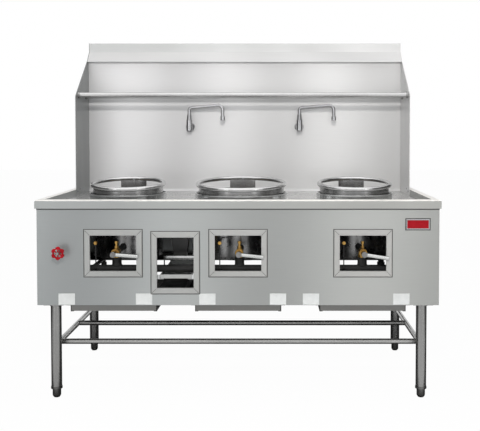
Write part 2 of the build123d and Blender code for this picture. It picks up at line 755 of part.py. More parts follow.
def pilot_rear_end(x):
    """Depth where the pilot tube meets the outside of its chamber."""
    radius = chamber_radius(dict(burners.values())[x])
    return burner_depth - sqrt(radius**2 - (abs(pilot_offset) - pilot_tube / 2) ** 2)


# ---------------------------------------------------------------- water
def water_valve():
    """Globe valve behind the panel on the cooling-water line from the rear inlet to the deck."""
    near = cabinet_inset + sheet
    x, depth, z = handwheel_x, water_valve_depth, handwheel_height
    body = along_y(x, (near, depth), z, water_valve_bonnet)
    body += Pos(x, y_at(depth), z) * Sphere(water_valve_ball / 2)
    body += along_z(x, depth, (z - water_valve_height / 2, z + water_valve_height / 2), water_valve_bonnet)
    body += along_z(x, depth, (water_line_height, under_deck), water_pipe)
    body += elbow(x, depth, water_line_height, water_pipe)
    body += along_y(x, (depth, inlet_depth), water_line_height, water_pipe)
    body += elbow(x, inlet_depth, water_line_height, water_pipe)
    body += inlet(x, water_line_height, water_pipe)
    return body - along_y(x, (near - 1, water_stem_end), z, handwheel_stem + 2 * stem_gap)


def handwheel():
    """Lobed wheel with spokes, hub, stem and retaining nut."""
    radius = handwheel_diameter / 2
    lobe = radius * 0.36
    outline = Circle(radius * 0.80)
    for place in PolarLocations(radius - lobe, handwheel_lobes):
        outline += place * Circle(lobe)
    hollow = Circle(radius * 0.60) - Circle(radius * 0.27)
    for place in PolarLocations(radius * 0.42, handwheel_lobes):
        hollow -= place * Rectangle(radius * 0.5, radius * 0.13)
    wheel = extrude(outline - hollow, handwheel_thickness)
    rims = wheel.faces().sort_by(Axis.Z)
    wheel = chamfer(rims[-1].outer_wire().edges() + rims[0].outer_wire().edges(), handwheel_thickness / 5)
    wheel = Pos(0, 0, -handwheel_thickness / 2) * Rot(0, 0, 90) * wheel
    hub, before, behind = handwheel_hub
    corner, height = handwheel_nut
    mid = before - front_reach + height / 2
    wheel = Pos(handwheel_x, y_at(mid), handwheel_height) * Rot(90, 0, 0) * wheel
    wheel += along_y(handwheel_x, (mid - before, mid + behind), handwheel_height, hub)
    wheel += along_y(handwheel_x, (mid, water_stem_end - stem_clearance), handwheel_height, handwheel_stem)
    nut = extrude(RegularPolygon(corner, 6), height)
    return wheel + Pos(handwheel_x, y_at(-front_reach), handwheel_height) * Rot(-90, 0, 0) * nut


def faucet_body(side):
    """Wall flange, inlet shank and upright body with its swivel collar."""
    x = side * faucet_x
    top = faucet_bottom + faucet_body_height
    body = along_z(x, faucet_axis, (faucet_bottom, top), faucet_body_diameter)
    body = chamfer(body.edges().filter_by(GeomType.CIRCLE).sort_by(Axis.Z)[-1], 2.0)
    body = fillet(body.edges().filter_by(GeomType.CIRCLE).sort_by(Axis.Z)[0], faucet_body_diameter / 4)
    body += along_y(x, (faucet_axis, wall_depth + faucet_tail), faucet_inlet_height, faucet_shank)
    near = wall_depth - faucet_flange_depth
    flange = along_y(x, (near, wall_depth), faucet_inlet_height, faucet_flange_diameter)
    body += chamfer(flange.faces().sort_by(Axis.Y)[0].edges(), 3.5)
    low, high = swivel_collar_widths
    collar = Cone(low / 2, high / 2, swivel_collar)
    body += Pos(x, y_at(faucet_axis), top + swivel_collar / 2) * collar
    bore = (spout_foot_z - stem_clearance, top + swivel_collar + 1)
    return body - along_z(x, faucet_axis, bore, spout_tube + 2 * stem_gap)


def swing_spout(side):
    """Bent tube: up out of the body, across with a slight rise and down to the aerator."""
    x = side * faucet_x
    along = (cos(radians(spout_swing_rest)), -sin(radians(spout_swing_rest)))
    rise = spout_reach * tan(radians(spout_rise))

    def place(run, z):
        return (x + run * along[0], y_at(faucet_axis) + run * along[1], z)

    points = [place(0, spout_foot_z), place(0, spout_height), place(spout_reach, spout_height + rise)]
    points.append(place(spout_reach, spout_height + rise - spout_drop + nozzle_length / 2))
    path = FilletPolyline(*points, radius=list(spout_bends))
    tube = sweep(Plane(origin=points[0], z_dir=(0, 0, 1)) * Circle(spout_tube / 2), path=path)
    end = place(spout_reach, spout_height + rise - spout_drop)
    nozzle = Pos(*end) * Cylinder(nozzle_diameter / 2, nozzle_length)
    nozzle = chamfer(nozzle.edges().filter_by(GeomType.CIRCLE), 1.5)
    mouth = Cylinder(spout_tube / 2 + 1.5, nozzle_length / 3)
    nozzle -= Pos(end[0], end[1], end[2] - nozzle_length / 2) * mouth
    return tube + nozzle


# ---------------------------------------------------------------- splash and flue
def cap_line(depth):
    """Height of the cap's sloping face at a depth."""
    return cap_bottom + (depth - cap_front) * top_slope


def back_wall():
    under = cap_line(wall_depth) - sheet * sqrt(1 + top_slope**2)
    wall = block((-half_splash, half_splash), (wall_depth, wall_depth + sheet), (deck_z, under))
    for side in (-1, 1):
        hole = (wall_depth - 1, wall_depth + sheet + 1)
        wall -= along_y(side * faucet_x, hole, faucet_inlet_height, faucet_shank + 1)
    # drip fold along the deck
    fold = [(wall_depth - drip_fold, deck_z), (wall_depth, deck_z), (wall_depth, deck_z + drip_fold)]
    return wall + side_profile(fold, (-half_splash, half_splash))


def splash_side():
    """Right splash side, cut to the slope, closing the end of the flue."""
    outline = [(splash_front, deck_z), (splash_front, splash_slope_start), (cap_front, cap_bottom)]
    outline += [(riser_depth, riser_bottom), (riser_depth, overall_height), (overall_depth, overall_height)]
    outline += [(overall_depth, deck_z)]
    side = side_profile(outline, (half_splash, half_recess))
    for back, up in screw_places:
        side -= along_x((half_splash - 1, half_recess + 1), splash_front + back, deck_z + up, screw_shank)
    return side


def flue_back():
    depth = (overall_depth - sheet, overall_depth)
    panel = block((-half_splash, half_splash), depth, (deck_z, overall_height))
    lip = (overall_depth - sheet - cap_return, overall_depth - sheet)
    return panel + block((-half_splash, half_splash), lip, (overall_height - sheet, overall_height))


def flue_cap():
    """Folded nosing: hemmed lower edge, slope, riser and top return."""
    t = sheet
    run = t * sqrt(1 + top_slope**2)
    bend = t * (sqrt(1 + top_slope**2) - top_slope)
    outline = [(cap_front, cap_bottom), (riser_depth, riser_bottom), (riser_depth, overall_height)]
    outline += [(riser_depth + cap_return, overall_height), (riser_depth + cap_return, overall_height - t)]
    outline += [(riser_depth + t, overall_height - t), (riser_depth + t, riser_bottom - bend)]
    hem = cap_front + cap_hem
    outline += [(hem, cap_line(hem) - run), (hem, cap_bottom - cap_hem), (cap_front, cap_bottom - cap_hem)]
    return side_profile(outline, (-half_splash, half_splash))


def shelf_tube(depth):
    span = (socket_length / 2 - half_splash, half_splash - socket_length / 2)
    tube = along_x(span, depth, shelf_height, shelf_tube_diameter)
    return tube - along_x((-half_splash, half_splash), depth, shelf_height,
                          shelf_tube_diameter - 2 * shelf_tube_wall)


def shelf_socket(depth, side):
    """Cup fixed to the splash side; the tube's end sits in it."""
    low, high = sorted((side * half_splash, side * (half_splash - socket_length)))
    cup = along_x((low, high), depth, shelf_height, socket_diameter)
    low, high = sorted((side * (half_splash - socket_length / 2), side * (half_splash - 2 * socket_length)))
    return cup - along_x((low, high), depth, shelf_height, shelf_tube_diameter)


def splash_screw(back, up, side):
    """Pan-head screw through the splash side."""
    depth, z = splash_front + back, deck_z + up
    low, high = sorted((side * half_splash, side * (half_splash - screw_head / 3)))
    head = along_x((low, high), depth, z, screw_head)
    low, high = sorted((side * (half_splash - 1), side * half_recess))
    return head + along_x((low, high), depth, z, screw_shank)


# ---------------------------------------------------------------- sump, scrap tray and drip pans
def square_loft(low_size, high_size, low_z, high_z):
    low = Plane.XY.offset(low_z) * Rectangle(low_size, low_size)
    high = Plane.XY.offset(high_z) * Rectangle(high_size, high_size)
    return loft([low, high])


def sump():
    """Square sump welded under the deck, narrowing to a spout over the scrap tray."""
    size = sump_top
    step = deck_z - sump_straight
    shell = Pos(0, 0, (step + deck_z) / 2) * Box(size, size, sump_straight)
    shell += square_loft(funnel_bottom, funnel_top, funnel_end, step)
    hollow = size - 2 * sheet
    shell -= Pos(0, 0, (step + sheet + deck_z + 1) / 2) * Box(hollow, hollow, sump_straight - sheet + 1)
    inside = (funnel_bottom - 2 * sheet, funnel_top - 2 * sheet)
    shell -= square_loft(*inside, funnel_end - 0.01, step + sheet + 0.01)
    return Pos(waste_x, y_at(sump_depth_at), 0) * shell


def strainer_basket():
    """Lift-out basket with slots in its floor and a bail bar."""
    size = sump_top - 2 * sheet - 2 * strainer_clearance
    top = deck_z - 2 * pan_sheet
    bottom = deck_z - sump_straight + sheet + lift_gap
    basket = block((-size / 2, size / 2), (-size / 2, size / 2), (bottom, top))
    inner = size / 2 - pan_sheet
    basket -= block((-inner, inner), (-inner, inner), (bottom + pan_sheet, top + 1))
    across, along = strainer_slots
    step_x, step_y = 2 * inner / across, 2 * inner / along
    for place in GridLocations(step_x, step_y, across, along):
        slot = Box(0.45 * step_x, 0.75 * step_y, 4 * pan_sheet)
        basket -= Pos(0, y_at(0), bottom) * place * slot
    bar = along_x((-inner - pan_sheet / 2, inner + pan_sheet / 2), 0, top - bail_bar, bail_bar)
    return Pos(waste_x, sump_depth_at, 0) * (basket + bar)


def open_tray(width, height, length, thick, rim):
    """Folded tray with its front lip turned out; its front left bottom corner is the origin."""
    tray = Pos(0, length / 2, height / 2) * Box(width, length, height)
    tray -= Pos(0, length / 2, height / 2 + thick) * Box(width - 2 * thick, length - 2 * thick, height)
    return tray + Pos(0, -rim / 2, height / 2) * Box(width, rim, height)


def scrap_tray():
    tray = open_tray(tray_width, tray_height, tray_length, pan_sheet, tray_lip)
    return Pos(waste_x, y_at(tray_front + tray_lip), tray_bottom) * tray


def tray_rails():
    """Two angles under the tray, tied at the back, hung from the deck, with a ledge at the funnel."""
    near = cabinet_inset + trim_depth
    far = tray_front + tray_lip + tray_length + rail_stop_gap
    z = tray_bottom - lift_gap
    half = tray_width / 2 + 1.0
    outer = half + sheet
    end = (far, far + splash_sheet)
    rails = block((-outer, outer), end, (z - sheet, z + 2 * tray_height))
    ledge_z = funnel_end + ledge_lift
    ledge_back = sump_depth_at - funnel_bottom / 2 - ledge_set
    ledge = (ledge_back - ledge_width, ledge_back)
    for side in (-1, 1):
        def band(low, high):
            return tuple(sorted((side * low, side * high)))

        rails += block(band(half - tray_height, outer), (near, far), (z - sheet, z))
        rails += block(band(half, outer), (near, far), (z - sheet, z + 0.7 * tray_height))
        rails += block(band(half - hanger_set - tray_height, half - hanger_set), end, (z, under_deck))
        ear = band(half, waste_width_in / 2 + trim_lip)
        rails += block(ear, (near, near + sheet), (z - sheet, z + tray_height))
        # upright plates carry the ledge bar in front of the funnel
        rails += block(band(half, outer), (ledge[0], ledge[0] + ledge_width), (z, ledge_z))
    rails += block((-outer, outer), ledge, (ledge_z, ledge_z + sheet))
    rails += block((-outer, outer), (ledge[0], ledge[0] + sheet), (ledge_z - ledge_fold, ledge_z + sheet))
    return Pos(waste_x, 0, 0) * rails


def drip_pan(x):
    """Shallow pan that slides out under its burner."""
    pan = open_tray(pan_width, pan_height, pan_length, pan_sheet, pan_lip)
    return Pos(x, y_at(pan_front + pan_lip), cabinet_bottom - pan_gap - pan_height) * pan


def pan_runner(x, side):
    """Angle hung under the cabinet beside a pan, with a foot for the pan to slide on."""
    inner = x + side * (pan_width / 2 + runner_gap)
    outer = inner + side * runner_sheet
    foot = inner - side * 0.6 * runner
    depth = (pan_front, pan_front + pan_length + runner)
    low = cabinet_bottom - pan_gap - pan_height - lift_gap
    a, b = sorted((inner, outer))
    rail = block((a, b), depth, (low - runner_sheet, cabinet_bottom))
    a, b = sorted((foot, outer))
    rail += block((a, b), depth, (low - runner_sheet, low))
    a, b = sorted((inner, inner + side * runner))
    rail += block((a, b), depth, (cabinet_bottom - runner_sheet, cabinet_bottom))
    return rail


# ---------------------------------------------------------------- legs
def leg_places():
    return [(side * leg_x, depth) for depth in (leg_front, leg_rear) for side in (-1, 1)]


def leg(x, depth):
    """Stainless tube leg with its mounting plate and threaded end plug."""
    tube = along_z(x, depth, (leg_bottom, cabinet_bottom), leg_diameter)
    tube -= along_z(x, depth, (leg_bottom + leg_plug, cabinet_bottom + 1), leg_diameter - 2 * leg_wall)
    half = leg_plate / 2
    seat, low = cabinet_bottom - leg_plate_sheet, cabinet_bottom - leg_socket
    plate = block((x - half, x + half), (depth - half, depth + half), (seat, cabinet_bottom))
    socket = along_z(x, depth, (low, cabinet_bottom - 1), leg_diameter + 2 * leg_socket_wall)
    socket -= along_z(x, depth, (low - 1, cabinet_bottom), leg_diameter - leg_wall)
    bore = along_z(x, depth, (leg_bottom - 1, leg_bottom + leg_plug - 1), foot_stem + 2 * stem_gap)
    return tube + plate + socket - bore


def foot(x, depth):
    """Bullet foot with its flange and screw stem."""
    r, tip = foot_diameter / 2, foot_tip / 2
    flange = foot_flange / 2
    seat = leg_bottom - foot_flange_height
    profile = [(0, 0), (tip - 2, 0), (tip, 2), (r - 1, foot_taper), (r, foot_taper + 4), (r, seat)]
    profile += [(flange, seat + 1), (flange, leg_bottom - lift_gap), (0, leg_bottom - lift_gap)]
    body = spin_z(profile, x, depth)
    return body + along_z(x, depth, (leg_bottom - 2, leg_bottom + leg_plug - 1 - stem_clearance), foot_stem)


def stretchers():
    """Side rails from leg to leg, with two cross tubes welded between them."""
    frame = None
    for side in (-1, 1):
        rail = along_y(side * leg_x, (leg_front, leg_rear), stretcher_height, stretcher_diameter)
        frame = rail if frame is None else frame + rail
    for depth in cross_tube_depths:
        frame += along_x((-leg_x, leg_x), depth, stretcher_height, cross_tube_diameter)
    for x, depth in leg_places():
        clear = (stretcher_height - leg_diameter, stretcher_height + leg_diameter)
        frame -= along_z(x, depth, clear, leg_diameter)
    return frame


def badge():
    """Raised plate with a bevelled edge."""
    width, height, thick = badge_size
    plate = window(badge_x, badge_height, width, height, (cabinet_inset - thick, cabinet_inset))
    plate = chamfer(plate.faces().sort_by(Axis.Y)[0].edges(), thick / 2)
    near = cabinet_inset - thick
    inner_width, inner_height = width - 2 * badge_border, height - 2 * badge_border
    return plate - window(badge_x, badge_height, inner_width, inner_height, (near - 1, near + thick / 4))


# ---------------------------------------------------------------- every piece, by node name
def pieces():
    made = {
        "front_panel": front_panel(),
        "side_panel_right": side_panel(),
        "side_panel_left": mirrored(side_panel()),
        "cabinet_rear_panel": cabinet_rear_panel(),
        "base_frame": base_frame(),
        "deck_top": deck_top(),
        "waste_bay_trim": opening_trim(*windows()[-1]),
        "back_wall": back_wall(),
        "splash_side_right": splash_side(),
        "splash_side_left": mirrored(splash_side()),
        "flue_back": flue_back(),
        "flue_cap": flue_cap(),
        "shelf_tube_front": shelf_tube(shelf_front_depth),
        "shelf_tube_rear": shelf_tube(shelf_rear_depth),
        "gas_manifold": gas_manifold(),
        "water_valve": water_valve(),
        "handwheel": handwheel(),
        "sump": sump(),
        "strainer_basket": strainer_basket(),
        "scrap_tray": scrap_tray(),
        "tray_rails": tray_rails(),
        "stretchers": stretchers(),
        "badge": badge(),
    }
    for index, (name, (x, diameter)) in enumerate(burners.items()):
        made[f"access_trim_{name}"] = opening_trim(*windows()[index])
        made[f"ring_collar_{name}"] = ring_collar(x, diameter)
        made[f"wok_ring_{name}"] = wok_ring(x, diameter)
        made[f"gas_valve_{name}"] = gas_valve(x)
        made[f"valve_lever_{name}"] = valve_lever(x, lever_droops[index])
        made[f"drip_pan_{name}"] = drip_pan(x)
    for name, side in (("left", -1), ("right", 1)):
        made[f"faucet_body_{name}"] = faucet_body(side)
        made[f"swing_spout_{name}"] = swing_spout(side)
    corners = ("front_left", "front_right", "rear_left", "rear_right")
    for name, (x, depth) in zip(corners, leg_places()):
        made[f"foot_{name}"] = foot(x, depth)
    rings = list(burners.values())
    shelf_depths = (shelf_front_depth, shelf_rear_depth)
    groups = {
        "burner_chambers": [burner_chamber(x, d) for x, d in rings],
        "fire_liners": [fire_liner(x, d) for x, d in rings],
        "flue_ducts": [flue_duct(x, d) for x, d in rings],
        "jet_burners": [jet_burner(x) for x, _ in rings],
        "supply_pipes": [supply_run(x) for x, _ in rings],
        "pilot_valves": [pilot_valve(x) for x, _ in rings],
        "pan_runners": [pan_runner(x, side) for x, _ in rings for side in (-1, 1)],
        "shelf_sockets": [shelf_socket(depth, side) for depth in shelf_depths for side in (-1, 1)],
        "splash_screws": [splash_screw(*place, side) for place in screw_places for side in (-1, 1)],
        "legs": [leg(x, depth) for x, depth in leg_places()],
    }
    for name, solids in groups.items():
        made[name] = Compound(children=[s.solid() if hasattr(s, "solid") else s for s in solids])
    return made


os.makedirs("parts", exist_ok=True)
for node, shape in pieces().items():
    export_step(shape, f"parts/{node}.step")
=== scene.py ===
"""Studio scene of a three-ring wok range: its finishes, softened edges and small fittings.

Lengths are in metres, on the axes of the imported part.
"""
import json
from math import pi, radians

import bmesh
import bpy
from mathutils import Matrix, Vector

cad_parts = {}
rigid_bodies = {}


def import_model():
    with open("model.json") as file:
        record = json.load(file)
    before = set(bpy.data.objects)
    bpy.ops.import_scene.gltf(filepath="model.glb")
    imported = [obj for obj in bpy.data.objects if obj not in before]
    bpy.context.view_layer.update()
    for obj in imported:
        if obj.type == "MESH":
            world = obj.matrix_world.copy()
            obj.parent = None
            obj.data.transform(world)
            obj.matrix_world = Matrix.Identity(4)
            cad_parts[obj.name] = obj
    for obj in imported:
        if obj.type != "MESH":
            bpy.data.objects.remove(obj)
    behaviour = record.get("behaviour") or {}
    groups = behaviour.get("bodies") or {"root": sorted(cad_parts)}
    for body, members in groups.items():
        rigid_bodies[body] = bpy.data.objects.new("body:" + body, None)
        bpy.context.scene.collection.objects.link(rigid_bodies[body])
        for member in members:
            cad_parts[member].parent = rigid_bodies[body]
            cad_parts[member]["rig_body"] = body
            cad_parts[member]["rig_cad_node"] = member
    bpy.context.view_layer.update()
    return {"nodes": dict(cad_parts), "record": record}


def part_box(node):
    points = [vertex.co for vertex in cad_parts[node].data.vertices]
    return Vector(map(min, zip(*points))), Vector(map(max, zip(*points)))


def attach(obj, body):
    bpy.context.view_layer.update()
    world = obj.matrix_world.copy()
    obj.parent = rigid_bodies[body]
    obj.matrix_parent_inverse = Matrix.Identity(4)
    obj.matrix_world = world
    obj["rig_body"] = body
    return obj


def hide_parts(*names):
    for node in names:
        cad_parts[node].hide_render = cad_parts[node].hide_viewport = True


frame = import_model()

nodes = frame["nodes"]
bodies = frame["record"]["behaviour"]["bodies"]
BODY_OF = {node: body for body, members in bodies.items() for node in members}

RANGE_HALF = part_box("deck_top")[1].x
RIM_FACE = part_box("deck_top")[0].y
PANEL_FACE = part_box("front_panel")[0].y

# ---------------------------------------------------------------- camera and picture
PICTURE = (480, 431)                # pixels
FOCAL_PIXELS = 800.0
CENTRE_PIXEL = (272.0, 156.7)       # where the lens axis meets the picture
CAMERA_SIDE = 0.153                 # metres right of the middle
CAMERA_BACK = 3.58                  # metres in front of the rim face
CAMERA_HEIGHT = 1.235
CAMERA_PITCH = 0.035                # radians, looking down
SENSOR = 36.0                       # millimetres wide


def place_camera():
    """The camera stands where the photograph was taken from."""
    data = bpy.data.cameras.new("camera")
    data.sensor_width = SENSOR
    data.lens = SENSOR * FOCAL_PIXELS / PICTURE[0]
    data.shift_x = -(CENTRE_PIXEL[0] - PICTURE[0] / 2) / PICTURE[0]
    data.shift_y = -(PICTURE[1] / 2 - CENTRE_PIXEL[1]) / PICTURE[0]
    camera = bpy.data.objects.new("camera", data)
    bpy.context.scene.collection.objects.link(camera)
    camera.location = (CAMERA_SIDE, RIM_FACE - CAMERA_BACK, CAMERA_HEIGHT)
    camera.rotation_euler = (pi / 2 - CAMERA_PITCH, 0, 0)
    bpy.context.scene.camera = camera


# ---------------------------------------------------------------- building blocks of the finishes
NOISE_LOW, NOISE_HIGH = 0.3, 0.7    # nearly all of a noise's values lie between these
WAVE_PERIOD = pi / 10               # metres between the crests of a wave texture at scale 1
GRAIN = {"x": (0.02, 1, 1), "y": (1, 0.02, 1)}      # which way the polish marks of a sheet run
MIX_FIRST, MIX_SECOND, MIX_RESULT = 6, 7, 2         # the colour sockets of a Mix node


def new_material(name):
    """A new material, with its node tree and its shader."""
    material = bpy.data.materials.new(name)
    material.use_nodes = True
    tree = material.node_tree
    return material, tree, tree.nodes["Principled BSDF"]


def add_node(tree, kind, **values):
    """A new node with these settings; From_Min, for one, is the input From Min."""
    node = tree.nodes.new(kind)
    for key, value in values.items():
        if hasattr(node, key):
            setattr(node, key, value)
        else:
            node.inputs[key.replace("_", " ")].default_value = value
    return node


def feed(tree, value, socket):
    """Gives a socket another node's output, a colour or a plain number."""
    if isinstance(value, bpy.types.NodeSocket):
        tree.links.new(value, socket)
    elif isinstance(value, tuple):
        socket.default_value = (*value, 1)
    else:
        socket.default_value = value


def coordinates(tree, kind):
    """Object coordinates on a piece, or Generated ones, which are directions, in the world."""
    return add_node(tree, "ShaderNodeTexCoord").outputs[kind]


def one_axis(tree, kind, axis):
    """One axis of those coordinates."""
    split = add_node(tree, "ShaderNodeSeparateXYZ")
    tree.links.new(coordinates(tree, kind), split.inputs["Vector"])
    return split.outputs[axis]


def map_range(tree, value, source, target, easing="LINEAR"):
    """Maps a value from the source range onto the target range."""
    node = add_node(tree, "ShaderNodeMapRange", interpolation_type=easing, From_Min=source[0],
                    From_Max=source[1], To_Min=target[0], To_Max=target[1])
    tree.links.new(value, node.inputs["Value"])
    return node.outputs["Result"]


def calculate(tree, operation, first, second):
    """A Math node on two values."""
    node = add_node(tree, "ShaderNodeMath", operation=operation)
    feed(tree, first, node.inputs[0])
    feed(tree, second, node.inputs[1])
    return node.outputs["Value"]


def mix_colour(tree, factor, first, second):
    """The first colour where the factor is 0, and the second where it is 1."""
    mix = add_node(tree, "ShaderNodeMix", data_type="RGBA")
    tree.links.new(factor, mix.inputs["Factor"])
    feed(tree, first, mix.inputs[MIX_FIRST])
    feed(tree, second, mix.inputs[MIX_SECOND])
    return mix.outputs[MIX_RESULT]


def object_noise(tree, scale, detail=4.0, stretch=(1, 1, 1)):
    """Noise on object coordinates; a small stretch value draws it out along that axis."""
    mapping = add_node(tree, "ShaderNodeMapping")
    mapping.inputs["Scale"].default_value = stretch
    tree.links.new(coordinates(tree, "Object"), mapping.inputs["Vector"])
    noise = add_node(tree, "ShaderNodeTexNoise", Scale=scale, Detail=detail)
    tree.links.new(mapping.outputs["Vector"], noise.inputs["Vector"])
    return noise.outputs["Fac"]


def spread(tree, noise, low=0.0, high=1.0):
    """Maps a noise onto low to high."""
    return map_range(tree, noise, (NOISE_LOW, NOISE_HIGH), (low, high))


def uneven_gloss(tree, shader, noise, rough, under, over):
    """Roughness about this value, down to under less and up to over more, by the noise."""
    tree.links.new(spread(tree, noise, rough - under, rough + over), shader.inputs["Roughness"])


def bump(tree, shader, noise, strength, height):
    """Fine relief from a noise, this many metres high."""
    node = add_node(tree, "ShaderNodeBump", Strength=strength, Distance=height)
    tree.links.new(noise, node.inputs["Height"])
    tree.links.new(node.outputs["Normal"], shader.inputs["Normal"])


def darker(colour, share):
    """This share of a colour's brightness."""
    return tuple(part * share for part in colour)


def across(tree, left, right):
    """Fades from one colour at the left end of the range to another at its right end."""
    fade = map_range(tree, one_axis(tree, "Object", "X"), (-RANGE_HALF, RANGE_HALF), (0, 1), "SMOOTHSTEP")
    return mix_colour(tree, fade, left, right)


def painted_reflection_bands(tree, spacing, crest):
    """Painted reflections: broad upright bright bands in a wide sheet, this far apart, one of them
    brightest at x = crest.
    """
    phase = pi - 2 * pi * crest / spacing
    wave = add_node(tree, "ShaderNodeTexWave", Scale=WAVE_PERIOD / spacing, Distortion=0.7, Detail=1.0,
                    Detail_Scale=0.5, Phase_Offset=phase)
    tree.links.new(coordinates(tree, "Object"), wave.inputs["Vector"])
    return wave.outputs["Fac"]


# ---------------------------------------------------------------- kinds of finish
def brushed(name, left, right, rough=0.34, grain="x", metal=0.5, drift=0.88, sweep=(1, 1, 1), bands=None,
            relief=0.02):
    """Brushed sheet: fine drawn-out grain over slow shifts of tone or painted upright reflection bands,
    with faint smears.

    left and right are its colours at the two ends of the range. drift is the share of them that its darker
    parts keep, between painted reflection bands or where the shifts are low; sweep stretches the shifts and
    smears, and relief is the strength of its grain.
    """
    material, tree, shader = new_material(name)
    fine = object_noise(tree, scale=420.0, detail=2.0, stretch=GRAIN[grain])
    smears = object_noise(tree, scale=3.5, detail=3.0, stretch=sweep)
    # upright bands, where given, are painted reflections
    if bands:
        shifts = painted_reflection_bands(tree, *bands)
    else:
        shifts = spread(tree, object_noise(tree, scale=2.2, detail=1.5, stretch=sweep))
    dull = across(tree, darker(left, drift), darker(right, drift))
    tone = mix_colour(tree, shifts, dull, across(tree, left, right))
    marks = spread(tree, fine, high=0.05)
    tree.links.new(mix_colour(tree, marks, tone, darker(left, share=0.4)), shader.inputs["Base Color"])
    uneven_gloss(tree, shader, smears, rough, under=0.04, over=0.05)
    shader.inputs["Metallic"].default_value = metal
    if relief:
        bump(tree, shader, fine, strength=relief, height=0.0003)
    return material


def satin_tube(name, light, dark, rough, metal=0.9, run=None):
    """Drawn tube or bar, softly polished and lightly scuffed; run is the tangent of its drawn-out gloss."""
    material, tree, shader = new_material(name)
    scuffs = object_noise(tree, scale=14.0, detail=3.0, stretch=(1, 1, 0.3))
    shifts = object_noise(tree, scale=4.0, detail=2.0)
    tree.links.new(mix_colour(tree, spread(tree, shifts), dark, light), shader.inputs["Base Color"])
    uneven_gloss(tree, shader, scuffs, rough, under=0.03, over=0.05)
    shader.inputs["Metallic"].default_value = metal
    if run:
        along = add_node(tree, "ShaderNodeCombineXYZ", X=run[0], Y=run[1], Z=run[2])
        tree.links.new(along.outputs["Vector"], shader.inputs["Tangent"])
        shader.inputs["Anisotropic"].default_value = 0.6
    return material


def cast_metal(name, light, dark, rough, metal, grit=0.5, scale=220.0, shine=0.5):
    """Cast or scaled metal with pits and dull patches; firebrick and the dark joint and shadow strips are
    made the same way.
    """
    material, tree, shader = new_material(name)
    pits = object_noise(tree, scale, detail=6.0)
    patches = object_noise(tree, scale=22.0, detail=4.0)
    tree.links.new(mix_colour(tree, spread(tree, patches), dark, light), shader.inputs["Base Color"])
    uneven_gloss(tree, shader, patches, rough, under=0.1, over=0.1)
    shader.inputs["Metallic"].default_value = metal
    shader.inputs["Specular IOR Level"].default_value = shine
    bump(tree, shader, pits, strength=grit, height=0.0008)
    return material


def enamel(name, colour, worn, rough):
    """Enamel with a darker film in places and fine orange peel."""
    material, tree, shader = new_material(name)
    film = object_noise(tree, scale=45.0, detail=4.0)
    peel = object_noise(tree, scale=500.0, detail=2.0)
    tree.links.new(mix_colour(tree, spread(tree, film), colour, worn), shader.inputs["Base Color"])
    uneven_gloss(tree, shader, film, rough, under=0.0, over=0.15)
    shader.inputs["Specular IOR Level"].default_value = 0.12
    bump(tree, shader, peel, strength=0.08, height=0.0005)
    return material


# ---------------------------------------------------------------- the range's finishes
WALL_REFLECTION_BANDS = (0.567, 0.474)         # metres between the painted reflection bands, and where one of them is brightest
PANEL_REFLECTION_BANDS = (0.86, 0.57)
UPRIGHT, SIDEWAYS = (0, 0, 1), (1, 0, 0)

SHEETS = {
    # the front panel's upright bright bands and its darker left end are painted reflections
    "front_sheet": dict(left=(0.35, 0.37, 0.375), right=(0.41, 0.42, 0.41), drift=0.76, bands=PANEL_REFLECTION_BANDS),
    "rim_sheet": dict(left=(0.35, 0.365, 0.365), right=(0.38, 0.385, 0.37), relief=0),
    # the rim's rounded top is painted near-white: a painted highlight from the lamps above
    "rim_top": dict(left=(0.90, 0.885, 0.85), right=(0.92, 0.90, 0.86), metal=0.2),
    # the deck's up-facing faces are painted lighter than the rim's front: painted light from above
    "deck_floor": dict(left=(0.54, 0.545, 0.54), right=(0.63, 0.63, 0.62), rough=0.24),
    # the splash wall's upright bright bands are painted reflections
    "wall_sheet": dict(left=(0.73, 0.73, 0.74), right=(0.73, 0.73, 0.73), metal=0.35, drift=0.80,
                       sweep=(2.2, 1, 0.25), bands=WALL_REFLECTION_BANDS),
    "cap_sheet": dict(left=(0.70, 0.70, 0.70), right=(0.72, 0.72, 0.72), rough=0.36, drift=0.86),
    "riser_sheet": dict(left=(0.58, 0.59, 0.59), right=(0.72, 0.72, 0.72), rough=0.36, drift=0.86,
                        sweep=(1.4, 1, 1)),
    # the splash sides fade from dark at the left end to light at the right: painted shade on the left
    # side's inner face, painted light on the right one's
    "side_sheet": dict(left=(0.26, 0.27, 0.27), right=(0.70, 0.70, 0.70), grain="y", sweep=(1, 2.5, 0.3)),
    "end_sheet": dict(left=(0.42, 0.43, 0.43), right=(0.44, 0.445, 0.43), grain="y", sweep=(1, 2.5, 0.3)),
    "pan_sheet": dict(left=(0.15, 0.15, 0.146), right=(0.145, 0.145, 0.14)),
    "trim_sheet": dict(left=(0.37, 0.38, 0.375), right=(0.46, 0.46, 0.45), rough=0.32),
    # the collar's upright streaks of lighter and darker tone are painted highlight streaks
    "collar_steel": dict(left=(0.66, 0.67, 0.67), right=(0.76, 0.77, 0.77), rough=0.14, metal=0.95,
                         drift=0.62, sweep=(5, 5, 0.1)),
}
